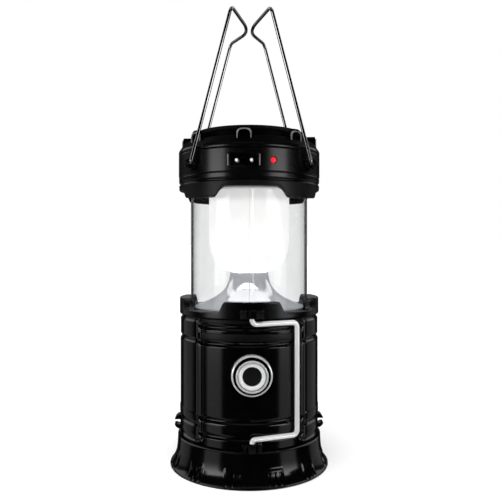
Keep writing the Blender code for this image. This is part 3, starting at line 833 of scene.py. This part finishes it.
# ---- Lamp unit ----
def make_cap(mat):
    """Cap body: band, lip, flange and four lugs, with the inlet, light and socket openings."""
    low, high = span("cap_housing")
    rim, lug_low, joint = high.x, low.z, span("cap_top")[0].z - RIM_GAP
    black = mat["satin_black"]
    bore = span("globe_tube")[1].x + 0.4
    band_low = joint - 12.4

    def foot_height(degrees, radius):
        """The wall's foot. The windows' flanks are square to the face, so they're set by how
        far across a point lies, not by its angle."""
        across = radius * sin(radians(from_quarter(degrees)))
        angle = math.degrees(math.asin(across / rim))
        return castle_height(angle, WINDOW_ANGLES, lug_low + WINDOW_RISE, lug_low)

    def section(degrees):
        return rounded([
            (bore, foot_height(degrees, bore), 0.3),
            (rim - 0.3, foot_height(degrees, rim), 0.8), (rim - 0.2, joint - 16.8, 0.2),
            (rim - 0.9, joint - 16.3, 0.2), (rim - 0.9, joint - 15.8, 0.2),
            (rim - 0.15, joint - 15.2, 0.5), (rim - 0.15, band_low - 0.25, 0.4),
            (rim - 0.5, band_low, 0.1), (rim, band_low + 0.4, 0.25), (rim, joint, 0.4),
            (36.6, joint, 0.2), (36.6, joint - 17.1, 0.0), (4.0, joint - 17.1, 0.0),
            (4.0, joint - 18.9, 0.0), (bore, joint - 18.9, 0.0)])

    cap = turned("cap_body", section, black, castle_stations(WINDOW_ANGLES))

    back, face, dimple = 18.3, 28.7, 28.2
    shape = [(0.0, back)] + rounded([
        (3.0, back, 0.0), (3.0, face, 0.4), (2.3, face, 0.2), (2.2, dimple, 0.2),
        (1.5, dimple, 0.2), (1.4, face, 0.2), (0.0, face, 0.0), (0.0, back, 0.0)])[:-2]
    bosses, drills = [], []
    for x, _, z in (pivot("bail_left_hinge"), pivot("bail_right_hinge")):
        for facing in (0.0, 180.0):
            spot = dict(location=(x, 0.0, z), facing=facing)
            bosses.append(turned("boss", shape + [(0.0, face)], black, steps=40, **spot))
            drills.append(disc("drill", BAIL_WIRE_R + 0.15, 25.0, 30.0, black, 24, **spot))
    combine(cap, bosses, "UNION")

    inlet_z = level("inlet_cup")
    openings = [
        prism("inlet_cut", rounded_box(15.4, 8.0, 0.9), 34.0, 42.0, black,
              **on_wall(inlet_z, CAP_TWIST)),
        disc("led_cut", 1.8, 34.0, 42.0, black, 32, **on_wall(inlet_z, CHARGE_LED_ANGLE)),
        prism("usb_cut", rounded_box(13.8, 6.4, 0.6), 34.0, 42.0, black,
              **on_wall(level("usb_socket"), 180.0))]
    combine(cap, openings + drills, "DIFFERENCE")
    # The lip, flange and lugs get band black: a matte finish, with painted sheen in its lighter colour.
    repaint(cap, mat["band_black_painted_sheen"], lambda radius, degrees, z: z < joint - 16.9)
    repaint(cap, mat["matte_black"],
            lambda radius, degrees, z: z < joint - 19.2 and bore + 0.6 < radius < rim - 0.9)
    repaint(cap, mat["silver_plastic"],
            lambda radius, degrees, z: z < joint - 18.5 and radius < bore - 0.1)
    piece(cap, "lamp_unit", "black_plastic", "cap_housing")

    # Grey strips beside the inlet: painted highlights on its rounded side edges.
    edges = [prism("edge", rounded_box(0.6, 5.8, 0.2, (x, 0.0)), 37.6, 38.75, mat["painted_highlight_grey"], 0.2,
                   **on_wall(inlet_z, CAP_TWIST)) for x in (-8.05, 8.05)]
    highlight_strips = gather("inlet_edge_highlights", edges)
    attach(highlight_strips, "lamp_unit")


def make_crown(mat):
    """Cap top: shoulder, tier with eight arched teeth, and the rim round the solar panel."""
    low, high = span("cap_top")
    rim, bottom, deck = high.x, low.z, high.z
    black = mat["matte_black"]
    outline = rounded([
        (36.6, bottom, 0.0), (rim, bottom, 0.35), (rim, bottom + 1.7, 0.8),
        (36.2, bottom + 6.1, 0.4), (32.4, bottom + 6.3, 0.3), (32.4, deck - 2.4, 0.6),
        (30.2, deck, 0.7), (27.6, deck, 0.5), (27.6, deck - 2.0, 0.0), (3.0, deck - 2.0, 0.0),
        (3.0, deck - 3.8, 0.0), (29.8, deck - 3.8, 0.0), (29.8, bottom + 5.3, 0.0),
        (34.4, bottom + 5.0, 0.0), (36.6, bottom + 2.0, 0.0)])
    crown = turned("cap_crown", outline, black, steps=144)
    face = 36.9

    def arch(half, top, foot):
        bend = 0.6 * half
        return ([(half, foot)] + arc((half - bend, top - bend), bend, 0.0, 90.0, 8)
                + arc((bend - half, top - bend), bend, 90.0, 180.0, 8) + [(-half, foot)])
    facings = [CAP_TWIST + 45.0 * i for i in range(8)]
    teeth = [prism("tooth", arch(4.1, deck - 1.9, deck - 7.4), 31.0, face, black, 0.3, facing=facing)
             for facing in facings]
    combine(crown, teeth, "UNION")
    repaint(crown, mat["satin_black"], lambda radius, degrees, z: z < bottom + 1.8)
    piece(crown, "lamp_unit", "black_plastic", "cap_top")

    # Grey arch-shaped rims on the teeth: painted highlights on the teeth's rounded edges.
    rim_shape = arch(3.8, deck - 3.0, deck - 8.2) + arch(3.2, deck - 3.6, deck - 8.2)[::-1]
    highlight_rims = [prism("rim", rim_shape, face - 0.5, face + 0.6, mat["painted_highlight_grey"], 0.2, facing=facing)
            for facing in facings]
    arch_highlights = gather("crown_arch_highlights", highlight_rims)
    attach(arch_highlights, "lamp_unit")


def make_solar_panel(mat):
    """Round panel: dark backing, four rows of cells with silver busbars, and a glossy face."""
    low, high = span("solar_panel")
    radius, bottom, top = high.x, low.z, high.z
    board = disc("panel_backing", radius, bottom, top - 0.25, mat["dark_joint"], 120, 0.15)
    piece(board, "lamp_unit", "solar_cell", "solar_panel")
    half, gap, rows, curve = radius - 2.2, 0.9, 4, 12
    width = 2 * half / rows
    for row in range(rows):
        start = -half + row * width + gap / 2
        end = start + width - gap
        xs = [start + (end - start) * i / curve for i in range(curve + 1)]
        edge = [(x, math.sqrt(half * half - x * x)) for x in xs]
        outline = [(x, -y) for x, y in edge] + edge[::-1]
        cell = prism("solar_cell_%d" % (row + 1), outline, top - 0.3, top - 0.08,
                     mat["solar_cell"], 0.05)
        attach(cell, "lamp_unit")
        middle = (start + end) / 2
        reach = math.sqrt(half * half - middle * middle) - 0.6
        busbar = prism("busbar_%d" % (row + 1), rounded_box(0.9, 2 * reach, 0.3, (middle, 0.0)),
                       top - 0.15, top - 0.02, mat["steel"], 0.03)
        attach(busbar, "lamp_unit")


def make_inlet(mat):
    """Two-pin charging inlet and its red light."""
    inlet_z = level("inlet_cup")
    spot = on_wall(inlet_z, CAP_TWIST)
    cup = prism("inlet_shell", rounded_box(14.8, 7.4, 0.8), 32.0, 38.6, mat["satin_black"], 0.25, **spot)
    hollow = prism("hollow", rounded_box(13.2, 6.0, 0.5), 33.4, 40.0, mat["satin_black"], **spot)
    combine(cup, [hollow], "DIFFERENCE")
    piece(cup, "lamp_unit", "black_plastic", "inlet_cup")
    sideways = around(1.0, CAP_TWIST + 90.0)
    for side, offset in (("left", -3.8), ("right", 3.8)):
        pin = [(0.0, 31.0), (0.85, 31.0), (0.85, 37.4), *dome(0.85, 37.4, 0.8, 15), (0.0, 38.2)]
        obj = turned("charge_pin_" + side, pin, mat["brass"], steps=32,
                     location=(sideways.x * offset, sideways.y * offset, inlet_z), facing=CAP_TWIST)
        piece(obj, "lamp_unit", "brass", "inlet_pin_" + side)
    bulb = [(0.0, 34.6), (1.5, 34.6), (1.5, 38.6), *dome(1.5, 38.6, 1.2, 10), (0.0, 39.8)]
    led = turned("charge_lamp", bulb, mat["red_led"], steps=40, **on_wall(inlet_z, CHARGE_LED_ANGLE))
    piece(led, "lamp_unit", "red_led", "charge_led")


def make_usb(mat):
    """Rubber flap over the USB socket: soft corners, three grip lines and its plug."""
    low, high = span("usb_flap")
    _, axis_y, axis_z = pivot("usb_flap_hinge")
    width, tall = high.x - low.x, axis_z - low.z
    spot = dict(location=(0.0, axis_y, axis_z), facing=180.0)
    rubber = mat["black_rubber"]
    shape = rounded_box(width, tall, 1.6, (0.0, -tall / 2))
    flap = prism("flap", shape, -0.6, 0.35, rubber, 0.3, **spot)
    ridges = [prism("ridge", rounded_box(width - 6.0, 0.7, 0.3, (0.0, -tall * share)), 0.1, 0.6,
                    rubber, 0.2, **spot) for share in (0.62, 0.74, 0.86)]
    for ridge in ridges:
        combine(flap, [ridge], "UNION")
    plug_z = level("usb_socket") - axis_z
    plug = prism("plug", rounded_box(9.0, 2.4, 0.4, (0.0, plug_z)), -1.4, 0.0, rubber, **spot)
    combine(flap, [plug], "UNION")
    piece(flap, "usb_flap", "black_rubber", "usb_flap")


def make_lamp(mat):
    """Clear globe with guide ribs, glowing frosted shade and mirrored bell with a painted glow."""
    low, high = span("globe_tube")
    radius, bottom, top = high.x, low.z, high.z

    def tube(degrees):
        across = radians(from_quarter(degrees)) * radius
        rib = plateau(across, -1.05, 1.05, 0.2)
        outer, inner = radius + 0.3 * rib, radius - GLOBE_WALL - 0.5 * rib
        return rounded([(inner, bottom, 0.25), (outer, bottom, 0.25), (outer, top, 0.25),
                        (inner, top, 0.25)])
    angles = round_stations(2.0, 0.35, [0.0, 90.0, 180.0, 270.0], 2.8)
    piece(turned("globe", tube, mat["clear_plastic"], angles), "lamp_unit", "clear_plastic",
          "globe_tube")

    low, high = span("lamp_diffuser")
    radius, bottom, top = high.x, low.z, high.z
    fillet, tall, wall = 12.5, 18.0, 1.2

    def bowl(inset, degrees):
        angle = radians(degrees)
        return (radius - fillet + (fillet - inset) * cos(angle),
                bottom + tall - (tall - inset) * sin(angle))
    outer = [bowl(0.0, 4.5 * i) for i in range(21)]
    inner = [bowl(wall, 90.0 - 7.5 * i) for i in range(13)]
    outline = [(radius, top)] + outer + [(0.0, bottom), (0.0, bottom + wall)] + inner
    outline.append((radius - wall, top))
    piece(turned("lamp_shade", outline, mat["frosted_plastic"]), "lamp_unit", "frosted_plastic",
          "lamp_diffuser")

    low, high = span("bell_reflector")
    foot, top, rim_low = high.x, high.z, low.z
    throat, flare = 10.6, 16.6
    skirt = foot - throat - flare - 0.6

    def bell(share):
        drop = (top - rim_low - 0.9) * share
        return throat + skirt * share + flare * share ** 3.2, top - drop
    outer = [bell(i / 28) for i in range(29)]
    inner = [(r - 1.0, z - 0.9) for r, z in reversed(outer[::2])]
    outline = [(0.0, top)] + outer + [(foot, rim_low + 0.7), (foot, rim_low)] + inner
    outline.append((0.0, top - 0.9))
    piece(turned("lamp_bell", outline, mat["bell_mirror_painted_glow"]), "lamp_unit", "mirror_plastic",
          "bell_reflector")


def make_bail(side_name, side, mat):
    """One wire bail with its bulged grip, leaning inwards from its pivots."""
    node = "bail_" + side_name
    x, _, z = pivot(node + "_hinge")
    y = span(node)[1].y - BAIL_WIRE_R
    lean = radians(BAIL_LEAN)
    along = Vector((-side * sin(lean), 0.0, cos(lean)))
    inward = Vector((-side * cos(lean), 0.0, -sin(lean)))
    forward = Vector((0.0, -1.0, 0.0))
    pin = y - BAIL_PIN
    corners = [forward * pin, forward * y, forward * y + along * BAIL_LEG,
               along * BAIL_LEG + inward * BAIL_BULGE,
               along * BAIL_LEG - forward * y, -forward * y, -forward * pin]
    path = rounded_path(corners, (1.3, 3.0, BAIL_BULGE_FILLET, 3.0, 1.3))
    obj = wire("bail_wire_" + side_name, path, BAIL_WIRE_R, mat["chrome_wire"],
               location=(x, 0.0, z))
    piece(obj, node, "chrome_wire", node)


# ---- What stays as it is in the CAD ----
def repaint_kept_nodes(mat):
    """Gives every CAD node that still shows the same fine material as its slot's pieces."""
    looks = {
        "lens_seal": "black_rubber", "torch_board": "white_board", "base_bulkhead": "satin_black",
        "switch_contact": "steel", "control_board": "green_board", "battery_cell": "blue_sleeve",
        "usb_socket": "steel", "usb_tongue": "white_board", "stop_ring": "satin_black",
        "lamp_base": "satin_black", "lamp_board": "white_board"}
    for name, node in frame["nodes"].items():
        look = looks.get(name)
        if "screw" in name:
            look = "steel"
        if name.startswith("lamp_led"):
            look = "led_yellow"
        if look:
            for slot in node.material_slots:
                slot.material = mat[look]


# ---- Studio ----
def window(tree, value, rise, fall, edge):
    """1 between two levels, with soft edges."""
    up = remap(tree, value, rise, rise + edge, 0.0, 1.0)
    down = remap(tree, value, fall - edge, fall, 1.0, 0.0)
    return times(tree, up, down)


def make_world():
    """A white studio. Mirrored light comes from a dark front with two tall soft boxes, two
    weaker ones behind, a band overhead and a faint glow from the back wall."""
    world = bpy.data.worlds.new("studio")
    bpy.context.scene.world = world
    world.use_nodes = True
    tree = world.node_tree
    split = tree.nodes.new("ShaderNodeSeparateXYZ")
    tree.links.new(tree.nodes.new("ShaderNodeTexCoord").outputs["Generated"], split.inputs[0])
    x, y, z = split.outputs
    azimuth = maths(tree, "ARCTAN2", x, times(tree, y, -1.0))
    azimuth = maths(tree, "DEGREES", maths(tree, "ABSOLUTE", azimuth))

    front_level = remap(tree, z, -0.22, 0.10, 0.45, 3.6)
    front_level = times(tree, front_level, remap(tree, z, 0.17, 0.21, 1.0, 0.0))
    to_the_right = maths(tree, "GREATER_THAN", x, 0.0)
    lean_in = times(tree, remap(tree, z, -0.05, 0.08, 0.0, 1.0),
                    maths(tree, "MULTIPLY_ADD", to_the_right, 9.0, 7.0))
    leaning = plus(tree, azimuth, lean_in)
    front = times(tree, window(tree, leaning, 45.0, 77.0, 5.0), front_level)
    rear_level = plus(tree, remap(tree, z, -0.02, 0.05, 0.2, 0.03),
                       remap(tree, z, 0.17, 0.22, 0.0, 0.9))
    rear = times(tree, window(tree, azimuth, 104.0, 145.0, 8.0), rear_level)
    overhead = times(tree, window(tree, z, 0.72, 0.98, 0.06), 0.25)
    behind = times(tree, maths(tree, "POWER", maths(tree, "MAXIMUM", y, 0.0), 30.0), 0.4)
    mirrored = plus(tree, plus(tree, front, rear), plus(tree, overhead, behind))

    path = tree.nodes.new("ShaderNodeLightPath").outputs
    ambient = 0.35
    not_diffuse = maths(tree, "SUBTRACT", 1.0, path["Is Diffuse Ray"])
    other = times(tree, path["Is Diffuse Ray"], ambient)
    other = plus(tree, other, times(tree, mirrored, not_diffuse))
    seen = maths(tree, "MAXIMUM", path["Is Camera Ray"], path["Is Transmission Ray"])
    seen = maths(tree, "SUBTRACT", seen, times(tree, path["Is Transmission Ray"], 0.1))
    seen = times(tree, seen, maths(tree, "LESS_THAN", path["Glossy Depth"], 0.5))
    seen = times(tree, seen, maths(tree, "LESS_THAN", path["Diffuse Depth"], 0.5))
    strength = plus(tree, seen, times(tree, other, maths(tree, "SUBTRACT", 1.0, seen)))
    background = tree.nodes["Background"]
    background.inputs["Color"].default_value = (1.0, 1.0, 1.0, 1.0)
    tree.links.new(strength, background.inputs["Strength"])


def make_studio():
    make_world()
    sun_data = bpy.data.lights.new("overhead_light", "SUN")
    sun_data.energy = 3.0
    sun_data.angle = radians(70.0)
    sun = bpy.data.objects.new("overhead_light", sun_data)
    sun.rotation_euler = (radians(22.0), 0.0, radians(-15.0))
    sun.visible_glossy = False
    bpy.context.collection.objects.link(sun)

    bm = bmesh.new()
    bmesh.ops.create_circle(bm, cap_ends=True, segments=96, radius=40.0)
    glow = (("Emission Color", (1.0, 1.0, 1.0, 1.0)), ("Emission Strength", 0.12))
    floor = finish_mesh("floor", bm, surface("pale_floor", (0.96, 0.96, 0.96), 0.9, blotch=0.01,
                                             blotch_size=60.0, relief=0.0, extras=glow))
    floor.location.z = -0.0002
    floor.visible_glossy = False
    floor.visible_transmission = False

    scene = bpy.context.scene
    scene.view_settings.view_transform = "Standard"
    lens = bpy.data.cameras.new("camera")
    lens.lens = CAMERA_LENS
    lens.sensor_width = 36.0
    lens.shift_x, lens.shift_y = CAMERA_SHIFT
    lens.clip_start, lens.clip_end = 0.01, 100.0
    camera = bpy.data.objects.new("camera", lens)
    camera.location = around(CAMERA_DISTANCE, CAMERA_AZIMUTH, CAMERA_HEIGHT) * MM
    camera.rotation_euler = (radians(90.0), 0.0, radians(CAMERA_AZIMUTH))
    bpy.context.collection.objects.link(camera)
    scene.camera = camera


def main():
    mat = make_materials()
    make_foot(mat)
    make_housing(mat)
    make_collar(mat)
    make_torch(mat)
    make_switch(mat)
    make_side_handle(mat)
    make_cap(mat)
    make_crown(mat)
    make_solar_panel(mat)
    make_inlet(mat)
    make_usb(mat)
    make_lamp(mat)
    make_bail("left", -1, mat)
    make_bail("right", 1, mat)
    repaint_kept_nodes(mat)
    make_studio()


main()
